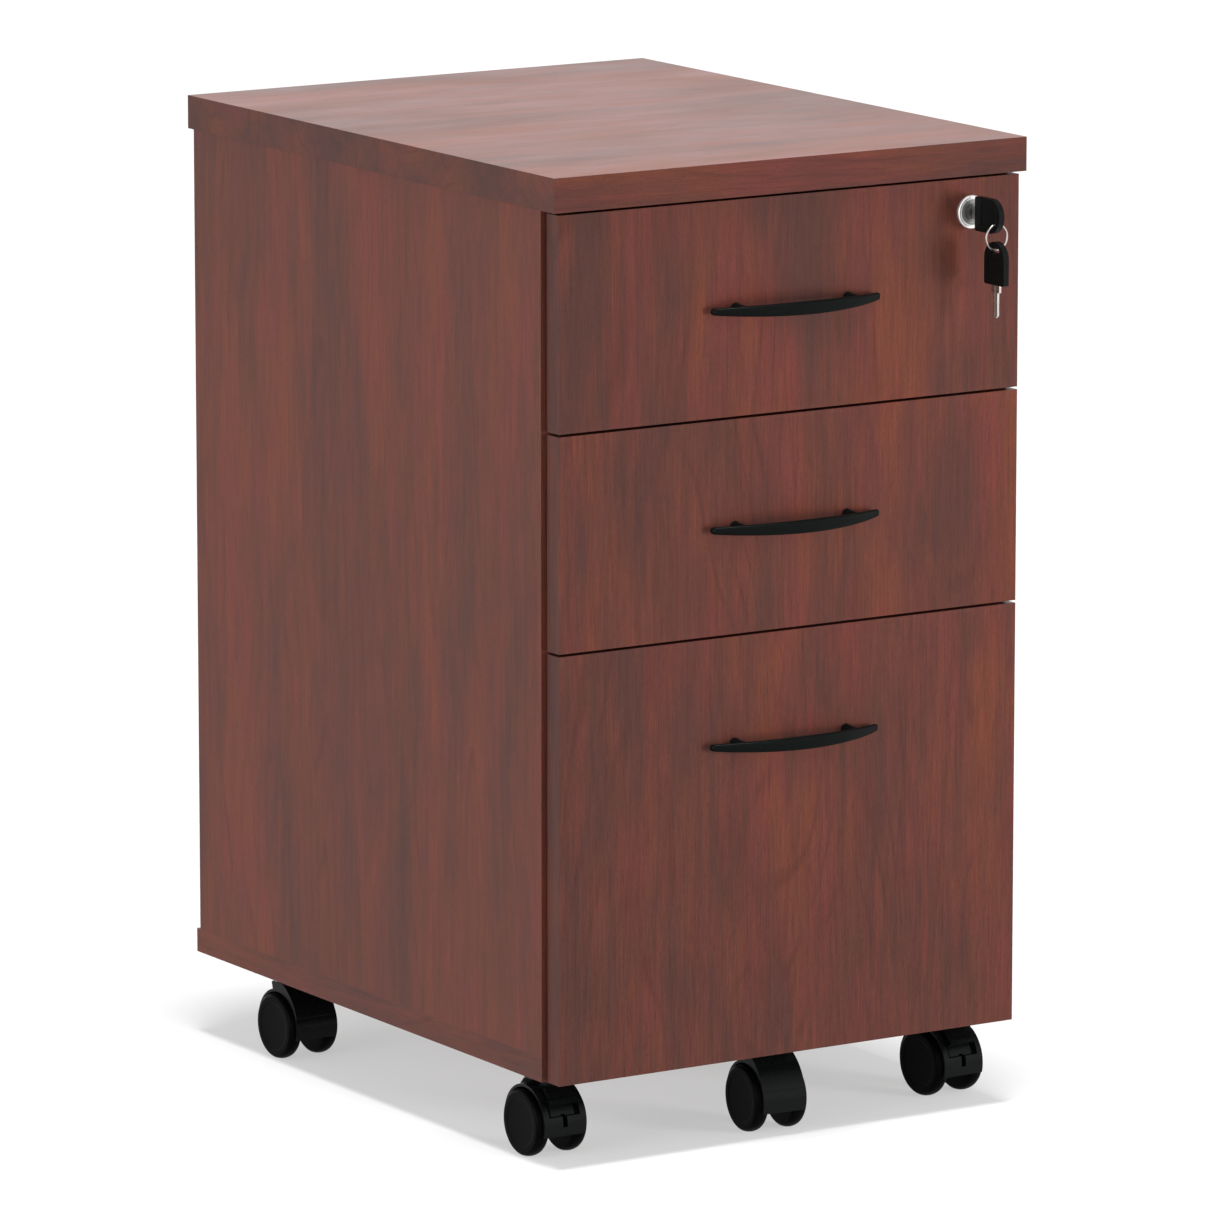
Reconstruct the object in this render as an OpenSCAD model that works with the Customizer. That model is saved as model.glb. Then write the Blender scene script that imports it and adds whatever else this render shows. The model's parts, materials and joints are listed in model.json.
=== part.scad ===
// Mobile drawer pedestal: laminate carcass, two box drawers over one file drawer,
// bow handles, a gang lock with its keys, and five twin-wheel casters.
// Millimetres. +Z is up, the drawers open towards -Y, and the origin is on the floor
// under the middle of the whole object, keys included.

/* [Carcass] */
// Width of the top panel, the widest piece
top_w = 403; // [395:1:430]
// Depth of the top panel, front edge to back edge
top_d = 520; // [515:1:560]
// Height from the floor to the upper face of the top panel
total_h = 720.5; // [720.5:0.5:760]
// Thickness of the top panel
top_t = 25; // [20:1:25]
// How far the top panel overhangs the carcass on each side
top_overhang = 2; // [0:0.5:4]
// Thickness of the side and back panels
side_t = 16; // [16:1:17]
// Thickness of the bottom panel
base_t = 18; // [16:1:18]
// Distance from the top panel's front edge to the carcass's front edge
carcass_setback = 21.4; // [21.4:0.2:22]
// How far the side and back panels stop short of the top's back edge
back_inset = 5; // [2:1:8]

/* [Drawer fronts] */
// Thickness of a drawer front
front_t = 16; // [16:1:16]
// Distance from the top panel's front edge to a drawer front's face
front_setback = 2.4; // [2:0.2:2.4]
// Visible gap between drawer fronts
front_gap = 2; // [1.5:0.5:3]
// How much narrower the fronts are than the carcass, on each side
front_inset = 3; // [2:0.5:4]
// Height of the upper and middle fronts
box_front_h = 156.25; // [156:0.25:157]
// Height of the file drawer front
file_front_h = 313; // [312:0.5:313]

/* [Drawer boxes] */
// Space between a drawer box and the side panel, filled by the slide
slide_space = 12.7; // [12.7:0.1:13]
// Thickness of the drawer sides and backs
box_t = 12; // [11:1:13]
// Length of the drawer sides and of the slides
box_len = 450; // [420:10:460]
// Height of the upper and middle drawer boxes
box_h = 95; // [80:1:95]
// Height of the file drawer box
file_box_h = 240; // [230:1:240]
// Thickness of the drawer bottoms
bottom_t = 4; // [3:0.5:5]

/* [Handles] */
// Distance between the handle's two screws
handle_pitch = 96; // [64:16:128]
// Overall length of the bow, tip to tip
handle_len = 144; // [141:1:150]
// How far the bow stands out from the drawer front
handle_reach = 28; // [26:0.5:32]
// Height of the bow at its middle
handle_h = 9.6; // [8:0.2:11]
// Height of the bow at its tips
handle_tip_h = 5.2; // [4:0.2:6]
// Thickness of the bow at its middle
handle_t = 6.4; // [5:0.2:7]
// Thickness of the bow at its tips
handle_tip_t = 5; // [3:0.2:5.4]

/* [Lock and keys] */
// Sideways place of the lock, from the centre line
lock_x = 154.5; // [150:0.5:156]
// Height of the lock's axis above the floor
lock_z = 669; // [668:0.5:670]
// Diameter of the lock's bezel
bezel_d = 24.4; // [24:0.2:26]
// Travel of the lock bar when the key turns through a quarter
lock_lift = 8; // [7:0.5:8]
// Width of a key bow
bow_w = 25; // [22:1:26]
// Length of a key bow
bow_l = 31.4; // [30:0.2:34]
// Thickness of a key bow
bow_t = 4.5; // [3.5:0.5:4.5]
// Mean diameter of the key ring
ring_d = 18.4; // [18:0.2:20]
// Wire diameter of the key ring
ring_wire = 1.6; // [1.2:0.1:1.8]

/* [Casters] */
// Wheel diameter
wheel_d = 50; // [48:1:50]
// Width of one wheel
wheel_w = 11; // [9:0.5:11]
// Overall width over both wheels of a caster
caster_w = 43; // [43:1:46]
// Overall height of a caster with its plate, floor to carcass
caster_h = 63.5; // [63.5:0.5:66]
// Horizontal distance from the swivel axis to the axle
trail = 15; // [12:1:16]
// Sideways place of the four corner casters
caster_x = 172.5; // [165:0.5:173]
// Distance from the top's front edge to the front casters' swivel axis
front_caster_y = 75.5; // [74:0.5:90]
// Distance from the top's front edge to the rear casters' swivel axis
rear_caster_y = 431; // [420:1:460]
// Distance from the top's front edge to the fifth caster's swivel axis
fifth_caster_y = 51; // [50:0.5:60]
// Sideways place of the fifth caster, from the centre line
fifth_caster_x = 3; // [-5:0.5:5]

/* [Hidden] */

$fn = 48;
eps = 0.01;
bore_gap = 0.05;

// Colours of the finished pieces
laminate = [0.42, 0.22, 0.18];
box_board = [0.83, 0.83, 0.80];
zinc = [0.72, 0.73, 0.75];
nickel = [0.80, 0.79, 0.76];
black_enamel = [0.10, 0.10, 0.11];
black_plastic = [0.06, 0.06, 0.065];
clear_rubber = [0.85, 0.86, 0.84];

// Places along Y are distances behind the top panel's front edge
key_shoulder = 5.6;
plug_face = -0.1;
key_stop_gap = 0.2;
ring_from_end = 6.5;
ring_y = plug_face - key_stop_gap - key_shoulder - bow_l + ring_from_end;
key_reach = bow_w / 2 - ring_y;
front_y = -(top_d - key_reach) / 2;
function behind(d) = front_y + d;

// Levels of the carcass
base_z = caster_h;
base_top = base_z + base_t;
top_z = total_h - top_t;
body_x = top_w / 2 - top_overhang;
inner_x = body_x - side_t;
panel_back = top_d - back_inset;

// Levels and planes of the drawers
front_back = front_setback + front_t;
front_x = body_x - front_inset;
file_front_z = base_z + 0.4;
middle_front_z = file_front_z + file_front_h + front_gap;
upper_front_z = middle_front_z + box_front_h + front_gap;
box_drop = 20;
box_x = inner_x - slide_space;
upper_box_z = upper_front_z + box_drop;
middle_box_z = middle_front_z + box_drop;
file_box_z = base_top + 13.5;
groove_depth = 6;
groove_rise = 10;

// Slides: height, metal thickness and the height of each one's centre line
slide_h = 45;
metal_t = 1.2;
slide_y = front_back + 5.6;
box_slide_rise = 43;
file_slide_z = 240;

// Handles, each as far below its front's upper edge
handle_drop = 78.25;
handle_screw_r = 2;

// Lock bar, in its groove in the right side panel
bar_front = 33;
bar_back = 47;
bar_t = 6.5;
bar_low = 120;
bar_high = 676;
bar_groove_depth = 7.5;
bar_groove_gap = 0.5;
pin_y = 40;
pin_r = 2.5;
pin_reach = 8.5;
upper_pin_z = 628;
middle_pin_z = upper_pin_z - box_front_h - front_gap;
file_pin_z = 300;
plug_r = 5.5;
cam_pin_r = 2;
cam_face = 26.3;
cam_t = 2;
cam_rim = 1;
cam_pin_end = bar_front + 5;
shoulder_w = 10;
blade_w = 5;
blade_t = 1.8;
blade_l = 18.5;
slot_l = 13.4;
slot_w = 3.6;
ring_lift = 1.3;
ring_z = lock_z - slot_l / 2 + ring_lift - ring_d / 2;
spare_slot_z = ring_z - ring_d / 2 + ring_lift - slot_w / 2;

// Casters
wheel_r = wheel_d / 2;
plate_side = 42;
plate_t = 2;
plate_screw_pitch = 31;
stem_r = 4;
stem_low = 36;
hood_clear = 0.5;
hood_w = 35;
hood_r = 28;
hood_t = 2;
hood_low = 18;
axle_r = 3;
axle_end = 2;

// ---- Small helpers ----

// A box from its low corner to its high corner
module block(low, high) {
    translate(low) cube(high - low);
}

// A round bar along X between two places
module bar_x(x0, x1, r) {
    translate([x0, 0, 0]) rotate([0, 90, 0]) cylinder(r = r, h = x1 - x0);
}

// A round bar along Y between two places
module bar_y(y0, y1, r) {
    translate([0, y0, 0]) rotate([-90, 0, 0]) cylinder(r = r, h = y1 - y0);
}

// A copy on each side of the centre line
module both_sides() {
    children();
    mirror([1, 0, 0]) children();
}

// ---- Carcass ----

module top_panel() {
    color(laminate)
        block([-top_w / 2, behind(0), top_z], [top_w / 2, behind(top_d), total_h]);
}

cam_r = 7.5;
cam_depth = 12;
cam_rise = 34;
cam_front = 80;
cam_rear = 430;

// Places of the cam fasteners in one side panel, as [y, z]
function cam_places() = [
    for (y = [cam_front, cam_rear], z = [base_top + cam_rise, top_z - cam_rise]) [behind(y), z]
];

module left_side_panel() {
    color(laminate)
        difference() {
            block([-body_x, behind(carcass_setback), base_top], [-inner_x, behind(panel_back), top_z]);
            for (p = cam_places())
                translate([0, p[0], p[1]]) bar_x(-inner_x - cam_depth, -inner_x + eps, cam_r);
        }
}

module right_side_panel() {
    color(laminate)
        difference() {
            block([inner_x, behind(carcass_setback), base_top], [body_x, behind(panel_back), top_z]);
            for (p = cam_places())
                translate([0, p[0], p[1]]) bar_x(inner_x - eps, inner_x + cam_depth, cam_r);
            block(
                [inner_x - eps, behind(bar_front - arm_t - bar_groove_gap), bar_low - 5],
                [inner_x + bar_groove_depth, behind(bar_back + bar_groove_gap), top_z + eps]
            );
        }
}

// Screw places of the four plates under the bottom panel, as [x, y]
function plate_centres() = [
    for (x = [-caster_x, caster_x], y = [front_caster_y, rear_caster_y]) [x, behind(y)]
];
function plate_screws() = [
    for (c = plate_centres(), x = [-0.5, 0.5], y = [-0.5, 0.5])
        [c[0] + x * plate_screw_pitch, c[1] + y * plate_screw_pitch]
];
screw_r = 2;
screw_len = 12;

module bottom_panel() {
    color(laminate)
        difference() {
            block([-body_x, behind(carcass_setback), base_z], [body_x, behind(top_d), base_top]);
            for (p = plate_screws())
                translate([p[0], p[1], base_z - eps]) cylinder(r = screw_r, h = screw_len + eps);
        }
}

module back_panel() {
    color(laminate)
        block(
            [-inner_x, behind(panel_back - side_t), base_top],
            [inner_x, behind(panel_back), top_z]
        );
}

cam_slot_w = 1.6;
cam_slot_depth = 2;

module cam_fasteners() {
    color(zinc)
        both_sides()
            for (p = cam_places())
                translate([inner_x, p[0], p[1]])
                    difference() {
                        bar_x(0, cam_depth, cam_r);
                        for (a = [0, 90])
                            rotate([a, 0, 0])
                                block(
                                    [-eps, -cam_r / 2, -cam_slot_w / 2],
                                    [cam_slot_depth, cam_r / 2, cam_slot_w / 2]
                                );
                    }
}

bumper_r = 3.5;
bumper_gap = 0.1;
bumper_inset = 10;
bumper_x = inner_x + 6.5;

// Soft stops on the carcass's front edges, one near each corner of each drawer front
module drawer_bumpers() {
    levels = [
        for (front = [
            [file_front_z, file_front_h], [middle_front_z, box_front_h], [upper_front_z, box_front_h]
        ], end = [0, 1])
            front[0] + (end == 0 ? bumper_inset : front[1] - bumper_inset)
    ];
    color(clear_rubber)
        both_sides()
            for (z = levels)
                translate([bumper_x, 0, z])
                    bar_y(behind(front_back + bumper_gap), behind(carcass_setback), bumper_r);
}

// ---- Drawer slides ----

// A channel along Y with its web at the right and its lips pointing left
module channel(web_x, reach, h) {
    y0 = behind(slide_y);
    y1 = y0 + box_len;
    difference() {
        block([web_x - reach, y0, -h / 2], [web_x, y1, h / 2]);
        block(
            [web_x - reach - 1, y0 - 1, -h / 2 + metal_t],
            [web_x - metal_t, y1 + 1, h / 2 - metal_t]
        );
    }
}

// The same channel turned round, with its web at the left and its lips pointing right
module turned_channel(web_x, reach, h) {
    translate([2 * web_x, 0, 0]) mirror([1, 0, 0]) channel(web_x, reach, h);
}

outer_reach = 10;
inner_reach = 9.6;
inner_h = 34.4;
file_middle_x = 180;
file_middle_reach = 7.5;
file_middle_h = 38.4;
file_inner_reach = 6.6;
file_inner_h = 30.4;

module box_slide_outer_rails() {
    color(zinc)
        both_sides()
            for (z = [upper_box_z, middle_box_z])
                translate([0, 0, z + box_slide_rise]) channel(inner_x, outer_reach, slide_h);
}

module file_slide_outer_rails() {
    color(zinc)
        both_sides() translate([0, 0, file_slide_z]) channel(inner_x, outer_reach, slide_h);
}

module box_inner_rails(box_z) {
    color(zinc)
        both_sides()
            translate([0, 0, box_z + box_slide_rise]) turned_channel(box_x, inner_reach, inner_h);
}

module upper_slide_inner_rails() { box_inner_rails(upper_box_z); }
module middle_slide_inner_rails() { box_inner_rails(middle_box_z); }

module file_slide_inner_rails() {
    color(zinc)
        both_sides()
            translate([0, 0, file_slide_z]) turned_channel(box_x, file_inner_reach, file_inner_h);
}

module file_slide_middle_rails() {
    color(zinc)
        both_sides()
            translate([0, 0, file_slide_z]) channel(file_middle_x, file_middle_reach, file_middle_h);
}

// ---- Drawers ----

handle_hole_r = 2.3;

// A front with its two handle screw holes
module drawer_front(z, h) {
    color(laminate)
        difference() {
            block([-front_x, behind(front_setback), z], [front_x, behind(front_back), z + h]);
            for (x = [-0.5, 0.5])
                translate([x * handle_pitch, 0, z + h - handle_drop])
                    bar_y(behind(front_setback) - 1, behind(front_back) + 1, handle_hole_r);
        }
}

// Both sides of a drawer box, grooved for its bottom
module drawer_sides(z, h) {
    groove_z = z + groove_rise;
    color(box_board)
        both_sides()
            difference() {
                block(
                    [box_x - box_t, behind(front_back), z],
                    [box_x, behind(front_back + box_len), z + h]
                );
                block(
                    [box_x - box_t - 1, behind(front_back) - 1, groove_z],
                    [box_x - box_t + groove_depth, behind(front_back + box_len) + 1, groove_z + bottom_t]
                );
            }
}

module drawer_back(z, h) {
    color(box_board)
        block(
            [-box_x + box_t, behind(front_back + box_len - box_t), z + groove_rise + bottom_t],
            [box_x - box_t, behind(front_back + box_len), z + h]
        );
}

module drawer_bottom(z) {
    half = box_x - box_t + groove_depth;
    color(box_board)
        block(
            [-half, behind(front_back), z + groove_rise],
            [half, behind(front_back + box_len), z + groove_rise + bottom_t]
        );
}

module upper_drawer_front() {
    color(laminate)
        difference() {
            drawer_front(upper_front_z, box_front_h);
            translate([lock_x, 0, lock_z])
                bar_y(behind(front_setback) - 1, behind(front_back) + 1, barrel_r);
        }
}
module middle_drawer_front() { drawer_front(middle_front_z, box_front_h); }
module file_drawer_front() { drawer_front(file_front_z, file_front_h); }
module upper_drawer_sides() { drawer_sides(upper_box_z, box_h); }
module middle_drawer_sides() { drawer_sides(middle_box_z, box_h); }
module file_drawer_sides() { drawer_sides(file_box_z, file_box_h); }
module upper_drawer_back() { drawer_back(upper_box_z, box_h); }
module middle_drawer_back() { drawer_back(middle_box_z, box_h); }
module file_drawer_back() { drawer_back(file_box_z, file_box_h); }
module upper_drawer_bottom() { drawer_bottom(upper_box_z); }
module middle_drawer_bottom() { drawer_bottom(middle_box_z); }
module file_drawer_bottom() { drawer_bottom(file_box_z); }

rail_base_t = 1.5;
rail_lip_h = 8;

// Rails on the file box's upper edges that hanging folders hook over
module hanging_file_rails() {
    z = file_box_z + file_box_h;
    y0 = behind(front_back);
    y1 = behind(front_back + box_len);
    color(zinc)
        both_sides() {
            block([box_x - box_t, y0, z], [box_x, y1, z + rail_base_t]);
            block([box_x - box_t, y0, z], [box_x - box_t + rail_base_t, y1, z + rail_lip_h]);
        }
}

bracket_w = 60;
bracket_t = 2;
bracket_high = 93;
bracket_back = 80;

// Angle bracket on the file front's rear face that carries the fifth caster's stem
module anti_tip_bracket() {
    level = base_z - 0.2;
    color(zinc) {
        block(
            [-bracket_w / 2, behind(front_back), level - bracket_t],
            [bracket_w / 2, behind(front_back) + bracket_t, bracket_high]
        );
        block(
            [-bracket_w / 2, behind(front_back), level - bracket_t],
            [bracket_w / 2, behind(bracket_back), level]
        );
        translate([fifth_caster_x, behind(fifth_caster_y), stem_low])
            cylinder(r = stem_r, h = level - bracket_t - stem_low + eps);
    }
}

// ---- Handles ----

post_base_r = 4.3;
post_r = 3.5;
post_bore = 8;
screw_head_r = 4;
screw_head_t = 2.4;
handle_tip_gap = 2.5;

// Radius of the arc over a chord, from half the chord and the arc's rise
function arc_radius(half, rise) = (half * half + rise * rise) / (2 * rise);

// One bow handle centred on its own screws, its back plane at y = 0, with its two screws
module bow_handle() {
    depth = handle_reach - handle_t;
    outer_r = arc_radius(handle_len / 2, handle_reach - handle_tip_t - handle_tip_gap);
    inner_r = arc_radius(handle_len / 2, depth - handle_tip_gap);
    post_x = handle_pitch / 2 - post_r;
    post_l = depth - inner_r + sqrt(inner_r * inner_r - post_x * post_x) + 1;
    color(black_enamel)
        difference() {
            intersection() {
                round_prism(outer_r, handle_reach);
                union() {
                    difference() {
                        bow_outline();
                        round_prism(inner_r, depth);
                    }
                    for (x = [-0.5, 0.5])
                        translate([x * handle_pitch, 0, 0])
                            rotate([90, 0, 0]) cylinder(r1 = post_base_r, r2 = post_r, h = post_l);
                }
            }
            for (x = [-0.5, 0.5])
                translate([x * handle_pitch, 0, 0])
                    bar_y(-post_bore, 1, handle_screw_r + bore_gap);
        }
    color(zinc)
        for (x = [-0.5, 0.5])
            translate([x * handle_pitch, 0, 0]) {
                bar_y(-post_bore + 1, front_t + eps, handle_screw_r);
                bar_y(front_t, front_t + screw_head_t, screw_head_r);
            }
}

// An upright round prism whose foremost line stands a given distance in front of y = 0
module round_prism(r, reach) {
    translate([0, r - reach, -handle_h]) cylinder(r = r, h = 2 * handle_h, $fn = 360);
}

// Front view of the bow, a slender lens with rounded tips, as a deep block
module bow_outline() {
    half = handle_len / 2 - handle_tip_h / 2;
    r = arc_radius(half, (handle_h - handle_tip_h) / 2);
    rotate([90, 0, 0])
        linear_extrude(height = 2 * handle_reach, center = true) {
            intersection() {
                translate([0, handle_h / 2 - r]) circle(r = r, $fn = 1440);
                translate([0, r - handle_h / 2]) circle(r = r, $fn = 1440);
                square([2 * half, 2 * handle_h], center = true);
            }
            for (x = [-half, half])
                translate([x, 0]) circle(d = handle_tip_h);
        }
}

module handle_at(z, h) {
    translate([0, behind(front_setback), z + h - handle_drop]) bow_handle();
}

module upper_handle() { handle_at(upper_front_z, box_front_h); }
module middle_handle() { handle_at(middle_front_z, box_front_h); }
module file_handle() { handle_at(file_front_z, file_front_h); }

// ---- Lock ----

barrel_r = 9.5;
bezel_t = front_setback - plug_face;
barrel_end = 26;
nut_t = 4;
nut_d = 26;
keyway_gap = 0.1;

// Places the children on the lock's axis
module at_lock() {
    translate([lock_x, 0, lock_z]) children();
}

bezel_floor = 1.7;
bezel_ring_in = 9.3;
bezel_groove_in = 6.8;
bezel_groove_out = 7.8;
bezel_soft = 0.7;

// Half section of the bezel as [radius, height off the drawer front]
function bezel_section() = [
    [0, 0], [0, bezel_floor], [bezel_groove_in, bezel_floor],
    [bezel_groove_in, bezel_floor + bezel_soft / 2], [bezel_groove_out, bezel_floor + bezel_soft / 2],
    [bezel_groove_out, bezel_floor], [bezel_ring_in, bezel_floor],
    [bezel_ring_in + bezel_soft, bezel_t], [bezel_d / 2 - bezel_soft, bezel_t],
    [bezel_d / 2, bezel_t - bezel_soft], [bezel_d / 2, 0]
];

module lock_housing() {
    color(nickel)
        at_lock()
            difference() {
                union() {
                    translate([0, behind(front_setback), 0])
                        rotate([90, 0, 0]) rotate_extrude($fn = 96) polygon(bezel_section());
                    bar_y(behind(front_setback) - eps, behind(barrel_end), barrel_r);
                    translate([0, behind(front_back), 0])
                        rotate([-90, 0, 0]) cylinder(d = nut_d, h = nut_t, $fn = 6);
                }
                bar_y(behind(plug_face) - 1, behind(barrel_end) + 1, plug_r + bore_gap);
            }
}

// The plug with the cam on its rear end and the eccentric pin that lifts the lock bar
module lock_plug() {
    color(nickel)
        at_lock()
            difference() {
                union() {
                    bar_y(behind(plug_face), behind(cam_face + cam_t), plug_r);
                    bar_y(behind(cam_face), behind(cam_face + cam_t), lock_lift + cam_pin_r + cam_rim);
                    translate([-lock_lift, 0, 0])
                        bar_y(behind(cam_face + cam_t - eps), behind(cam_pin_end), cam_pin_r);
                }
                block(
                    [-blade_t / 2 - keyway_gap, behind(plug_face) - 1, -blade_w / 2 - keyway_gap],
                    [blade_t / 2 + keyway_gap, behind(plug_face + blade_l + 1), blade_w / 2 + keyway_gap]
                );
            }
}

key_tang = 8;
bit_places = [[10, 1.6], [13, 2.4], [16, 1.2], [19, 2]];
key_tip_cut = 2.4;
key_groove_w = 1.2;
key_groove_depth = 0.3;

// A key blade pointing along +Y from the bow, with its shoulder's front end at y = 0
module key_blade() {
    end = key_shoulder + blade_l;
    color(nickel)
        difference() {
            union() {
                block([-blade_t / 2, -key_tang, -blade_w / 2], [blade_t / 2, end, blade_w / 2]);
                block(
                    [-blade_t / 2, -key_tang, -shoulder_w / 2],
                    [blade_t / 2, key_shoulder, shoulder_w / 2]
                );
            }
            for (bit = bit_places)
                translate([0, bit[0], blade_w / 2])
                    rotate([45, 0, 0]) cube([2 * blade_t, bit[1], bit[1]], center = true);
            for (side = [-1, 1]) {
                translate([0, end, side * blade_w / 2])
                    rotate([45, 0, 0]) cube([2 * blade_t, key_tip_cut, key_tip_cut], center = true);
                translate([side * blade_t / 2, 1, -key_groove_w / 2])
                    translate([-key_groove_depth, 0, 0]) cube([2 * key_groove_depth, end, key_groove_w]);
            }
        }
}

bow_corner = 1.5;
bow_panel_t = 0.4;
bow_panel_w = 17;
bow_panel_l = 13;

// Outline of a key bow with its ring slot, its straight end at y = 0 and its round end below
module bow_outline_2d() {
    half = bow_w / 2;
    difference() {
        union() {
            translate([0, -bow_l + half]) circle(r = half, $fn = 96);
            translate([-half, -bow_l + half]) square([bow_w, bow_l - half - bow_corner]);
            translate([-half + bow_corner, -bow_corner - eps])
                square([bow_w - 2 * bow_corner, bow_corner + eps]);
            for (x = [-half + bow_corner, half - bow_corner])
                translate([x, -bow_corner]) circle(r = bow_corner);
        }
        translate([-slot_l / 2 + slot_w / 2, -bow_l + ring_from_end - slot_w / 2])
            square([slot_l - slot_w, slot_w]);
        for (x = [-0.5, 0.5])
            translate([x * (slot_l - slot_w), -bow_l + ring_from_end]) circle(d = slot_w);
    }
}

// A key bow in the YZ plane with a shallow panel sunk in each face
module key_bow() {
    panel_y = -bow_l / 2 + bow_panel_l / 2 + bow_corner;
    color(black_plastic)
        difference() {
            rotate([0, 90, 0]) linear_extrude(height = bow_t, center = true) bow_outline_2d();
            block([-blade_t / 2, -key_tang, -shoulder_w / 2], [blade_t / 2, 1, shoulder_w / 2]);
            for (side = [-1, 1])
                translate([side * bow_t / 2, panel_y - bow_panel_l / 2, 0])
                    cube([2 * bow_panel_t, bow_panel_l, bow_panel_w], center = true);
        }
}

bow_face = plug_face - key_stop_gap - key_shoulder;

module inserted_key_blade() {
    at_lock() translate([0, behind(bow_face), 0]) key_blade();
}
module inserted_key_bow() {
    at_lock() translate([0, behind(bow_face), 0]) key_bow();
}

module key_ring() {
    color(nickel)
        translate([lock_x, behind(ring_y), ring_z])
            rotate([90, 0, 0])
                rotate_extrude($fn = 72) translate([ring_d / 2, 0]) circle(d = ring_wire, $fn = 24);
}

// The spare key hangs with its blade down from the ring's lowest point
module hang_spare() {
    translate([lock_x, behind(ring_y), spare_slot_z + ring_from_end - bow_l])
        rotate([-90, 0, 0]) children();
}
module spare_key_blade() { hang_spare() key_blade(); }
module spare_key_bow() { hang_spare() key_bow(); }

arm_left = lock_x - lock_lift - 6;
arm_low = 662.5;
arm_high = 677.5;
arm_t = 2;
arm_slot_gap = 0.6;
arm_slot_low = lock_z - cam_pin_r - 0.3;
arm_slot_high = lock_z + cam_pin_r + 2;

// Bar in the side panel's groove, its lift arm on the cam's pin, and a pin for each drawer
module lock_bar() {
    bar_x0 = inner_x + bar_groove_depth - 0.5 - bar_t;
    color(zinc)
        difference() {
            union() {
                block([bar_x0, behind(bar_front), bar_low], [bar_x0 + bar_t, behind(bar_back), bar_high]);
                block(
                    [arm_left, behind(bar_front - arm_t), arm_low],
                    [bar_x0 + bar_t, behind(bar_front) + eps, arm_high]
                );
                for (z = [upper_pin_z, middle_pin_z, file_pin_z])
                    translate([0, behind(pin_y), z]) bar_x(inner_x - pin_reach, bar_x0 + eps, pin_r);
            }
            block(
                [lock_x - lock_lift - cam_pin_r - arm_slot_gap, behind(bar_front - arm_t - 1), arm_slot_low],
                [lock_x + cam_pin_r + arm_slot_gap, behind(bar_front + 1), arm_slot_high]
            );
        }
}

catch_gap = 2;
catch_h = 12;
catch_t = 2;
catch_l = 18;
catch_rail_gap = 2.5;

// Hooked plate on a drawer's right side, whose lip stands behind the lock bar's pin
module lock_catch(pin_z) {
    z0 = pin_z + pin_r + catch_gap;
    lip_y = behind(pin_y + pin_r + 1);
    color(zinc) {
        block([box_x, lip_y, z0], [box_x + catch_t, lip_y + catch_l, z0 + catch_h]);
        block([box_x, lip_y, z0], [inner_x - catch_rail_gap, lip_y + catch_t, z0 + catch_h]);
    }
}
module upper_lock_catch() { lock_catch(upper_pin_z); }
module middle_lock_catch() { lock_catch(middle_pin_z); }
module file_lock_catch() { lock_catch(file_pin_z); }

// ---- Casters ----

module caster_stem_plates() {
    color(zinc)
        for (c = plate_centres())
            translate([c[0], c[1], 0])
                difference() {
                    union() {
                        block(
                            [-plate_side / 2, -plate_side / 2, base_z - plate_t],
                            [plate_side / 2, plate_side / 2, base_z]
                        );
                        translate([0, 0, stem_low])
                            cylinder(r = stem_r, h = base_z - plate_t - stem_low + eps);
                    }
                    for (x = [-0.5, 0.5], y = [-0.5, 0.5])
                        translate([x * plate_screw_pitch, y * plate_screw_pitch, base_z - plate_t - 1])
                            cylinder(r = screw_r + bore_gap, h = plate_t + 2);
                }
}

plate_head_r = 3.6;
plate_head_t = 2;

module caster_plate_screws() {
    color(zinc)
        for (p = plate_screws())
            translate([p[0], p[1], base_z - plate_t]) {
                translate([0, 0, -plate_head_t]) cylinder(r = plate_head_r, h = plate_head_t);
                translate([0, 0, -eps]) cylinder(r = screw_r, h = plate_t + screw_len);
            }
}

brake_pivot_r = 2;
brake_pivot_angle = 62;
brake_half_w = 13;
brake_top_half_w = 9;
brake_pivot_half_w = 8;
brake_t = 2.6;
brake_low_angle = 33;
brake_lip_t = 5;
brake_lip_angle = 39;
brake_gap = 0.3;
window_low = 32.6;
window_depth = 3;
slit_w = 3.8;
slit_low = 24.8;
slit_depth = 7;

// Centre of the brake lever's pivot, as [y, z] from the axle
function brake_pivot() = [-(hood_r - 1) * cos(brake_pivot_angle), (hood_r - 1) * sin(brake_pivot_angle)];

// Half section of the neck round the stem, as [radius, height above the floor]
function neck_section(top) = [
    [0, hood_low], [9, hood_low], [9, 46], [10.2, 48.5], [9, 50.5], [7.3, 53], [6.4, 56], [6.2, top], [0, top]
];

// Body of a twin-wheel caster: centre web, fender, neck for the stem, and the axle
module caster_hood(braked) {
    top = base_z - plate_t - 0.5;
    web_x = caster_w / 2 - wheel_w - hood_clear;
    color(black_plastic)
        difference() {
            union() {
                intersection() {
                    translate([0, -trail, wheel_r])
                        difference() {
                            bar_x(-hood_w / 2, hood_w / 2, hood_r);
                            for (side = [-1, 1])
                                translate([side * (web_x + hood_w / 2), 0, 0])
                                    bar_x(-hood_w / 2, hood_w / 2, hood_r - hood_t);
                        }
                    block([-hood_w, -3 * hood_r, hood_low], [hood_w, 3 * hood_r, top]);
                }
                rotate_extrude($fn = 72) polygon(neck_section(top));
                translate([0, -trail, wheel_r])
                    bar_x(-caster_w / 2 + axle_end, caster_w / 2 - axle_end, axle_r);
            }
            translate([0, 0, stem_low - 0.5]) cylinder(r = stem_r + bore_gap, h = top);
            if (braked)
                brake_recess();
        }
}

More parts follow.
